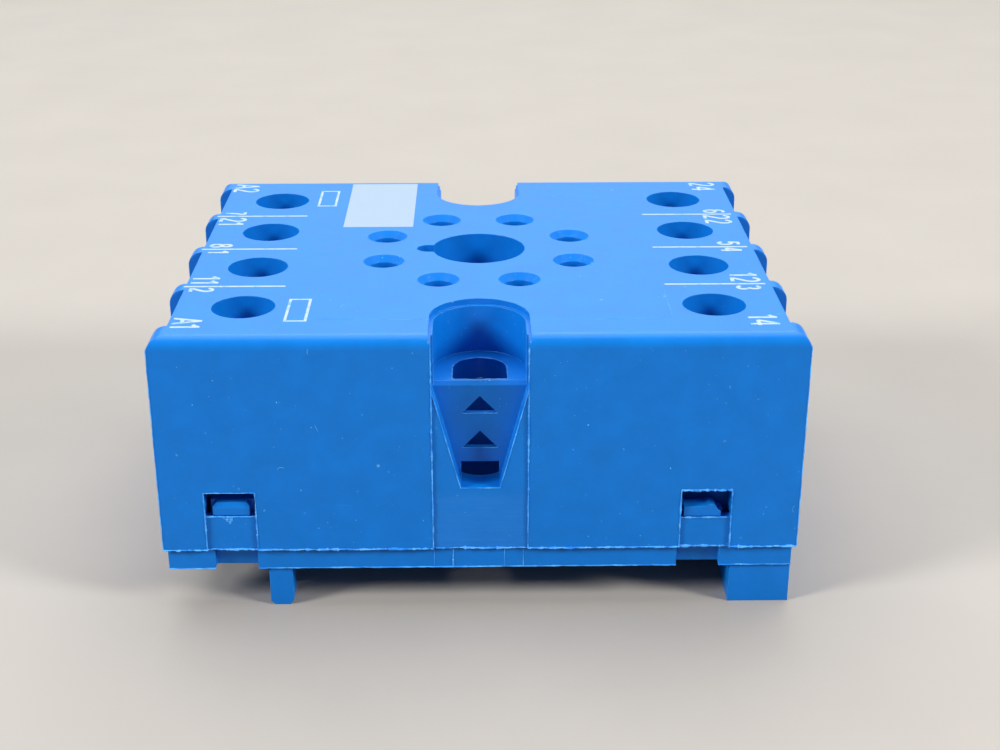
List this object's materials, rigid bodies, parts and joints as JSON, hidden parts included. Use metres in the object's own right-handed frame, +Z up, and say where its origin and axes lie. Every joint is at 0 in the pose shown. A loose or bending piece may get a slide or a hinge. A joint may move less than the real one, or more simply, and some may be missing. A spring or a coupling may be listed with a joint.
{
  "type": "relay socket",
  "caption": "Octal plug-in relay socket with rising box-clamp screw terminals along two sides, for a panel or a 35 mm rail.",
  "frame": {"origin": "on the surface the socket stands on, under the centre of the pin circle and of the housing", "axes": "+Z up out of the deck, +X across the two rows of terminals to the side with the fixed rail hook, +Y away from the shown front face, along the rail"},
  "size_m": [0.0502, 0.042, 0.0233],
  "materials": {
    "blue_plastic": "semi-gloss moulded",
    "tinned_brass": "stamped, thinly tinned",
    "zinc_steel": "bright zinc plated",
    "spring_steel": "bright spring steel"
  },
  "bodies": {
    "socket": {"housing": "blue_plastic", "base": "blue_plastic", "contact_1": "tinned_brass", "contact_2": "tinned_brass", "contact_3": "tinned_brass", "contact_4": "tinned_brass", "contact_5": "tinned_brass", "contact_6": "tinned_brass", "contact_7": "tinned_brass", "contact_8": "tinned_brass", "latch_spring": "spring_steel"},
    "latch": {"rail_latch": "blue_plastic"},
    "screw_1": {"screw_1": "zinc_steel"},
    "clamp_1": {"clamp_1": "zinc_steel"},
    "screw_2": {"screw_2": "zinc_steel"},
    "clamp_2": {"clamp_2": "zinc_steel"},
    "screw_3": {"screw_3": "zinc_steel"},
    "clamp_3": {"clamp_3": "zinc_steel"},
    "screw_4": {"screw_4": "zinc_steel"},
    "clamp_4": {"clamp_4": "zinc_steel"},
    "screw_5": {"screw_5": "zinc_steel"},
    "clamp_5": {"clamp_5": "zinc_steel"},
    "screw_6": {"screw_6": "zinc_steel"},
    "clamp_6": {"clamp_6": "zinc_steel"},
    "screw_7": {"screw_7": "zinc_steel"},
    "clamp_7": {"clamp_7": "zinc_steel"},
    "screw_8": {"screw_8": "zinc_steel"},
    "clamp_8": {"clamp_8": "zinc_steel"}
  },
  "joints": [
    {"name": "latch_slide", "type": "slide", "parent": "socket", "child": "latch", "axis": [-1, 0, 0], "range_m": [0, 0.002], "stiffness_N_per_m": 1500, "springref_m": -0.0005, "deforming": ["latch_spring"]},
    {"name": "clamp_1_rise", "type": "slide", "parent": "socket", "child": "clamp_1", "axis": [0, 0, 1], "range_m": [0, 0.0036]},
    {"name": "screw_1_turn", "type": "hinge", "parent": "socket", "child": "screw_1", "pos_m": [-0.01855, -0.01425, 0.01395], "axis": [0, 0, -1], "range_deg": [0, 2592.5]},
    {"name": "clamp_2_rise", "type": "slide", "parent": "socket", "child": "clamp_2", "axis": [0, 0, 1], "range_m": [0, 0.0036]},
    {"name": "screw_2_turn", "type": "hinge", "parent": "socket", "child": "screw_2", "pos_m": [-0.01855, -0.00475, 0.01395], "axis": [0, 0, -1], "range_deg": [0, 2592.5]},
    {"name": "clamp_3_rise", "type": "slide", "parent": "socket", "child": "clamp_3", "axis": [0, 0, 1], "range_m": [0, 0.0036]},
    {"name": "screw_3_turn", "type": "hinge", "parent": "socket", "child": "screw_3", "pos_m": [-0.01855, 0.00475, 0.01395], "axis": [0, 0, -1], "range_deg": [0, 2592.5]},
    {"name": "clamp_4_rise", "type": "slide", "parent": "socket", "child": "clamp_4", "axis": [0, 0, 1], "range_m": [0, 0.0036]},
    {"name": "screw_4_turn", "type": "hinge", "parent": "socket", "child": "screw_4", "pos_m": [-0.01855, 0.01425, 0.01395], "axis": [0, 0, -1], "range_deg": [0, 2592.5]},
    {"name": "clamp_5_rise", "type": "slide", "parent": "socket", "child": "clamp_5", "axis": [0, 0, 1], "range_m": [0, 0.0036]},
    {"name": "screw_5_turn", "type": "hinge", "parent": "socket", "child": "screw_5", "pos_m": [0.01855, -0.01425, 0.01395], "axis": [0, 0, -1], "range_deg": [0, 2592.5]},
    {"name": "clamp_6_rise", "type": "slide", "parent": "socket", "child": "clamp_6", "axis": [0, 0, 1], "range_m": [0, 0.0036]},
    {"name": "screw_6_turn", "type": "hinge", "parent": "socket", "child": "screw_6", "pos_m": [0.01855, -0.00475, 0.01395], "axis": [0, 0, -1], "range_deg": [0, 2592.5]},
    {"name": "clamp_7_rise", "type": "slide", "parent": "socket", "child": "clamp_7", "axis": [0, 0, 1], "range_m": [0, 0.0036]},
    {"name": "screw_7_turn", "type": "hinge", "parent": "socket", "child": "screw_7", "pos_m": [0.01855, 0.00475, 0.01395], "axis": [0, 0, -1], "range_deg": [0, 2592.5]},
    {"name": "clamp_8_rise", "type": "slide", "parent": "socket", "child": "clamp_8", "axis": [0, 0, 1], "range_m": [0, 0.0036]},
    {"name": "screw_8_turn", "type": "hinge", "parent": "socket", "child": "screw_8", "pos_m": [0.01855, 0.01425, 0.01395], "axis": [0, 0, -1], "range_deg": [0, 2592.5]}
  ],
  "couplings": [
    {"joint": "screw_1_turn", "follows": "clamp_1_rise", "rad_per_m": 12566},
    {"joint": "screw_2_turn", "follows": "clamp_2_rise", "rad_per_m": 12566},
    {"joint": "screw_3_turn", "follows": "clamp_3_rise", "rad_per_m": 12566},
    {"joint": "screw_4_turn", "follows": "clamp_4_rise", "rad_per_m": 12566},
    {"joint": "screw_5_turn", "follows": "clamp_5_rise", "rad_per_m": 12566},
    {"joint": "screw_6_turn", "follows": "clamp_6_rise", "rad_per_m": 12566},
    {"joint": "screw_7_turn", "follows": "clamp_7_rise", "rad_per_m": 12566},
    {"joint": "screw_8_turn", "follows": "clamp_8_rise", "rad_per_m": 12566}
  ]
}
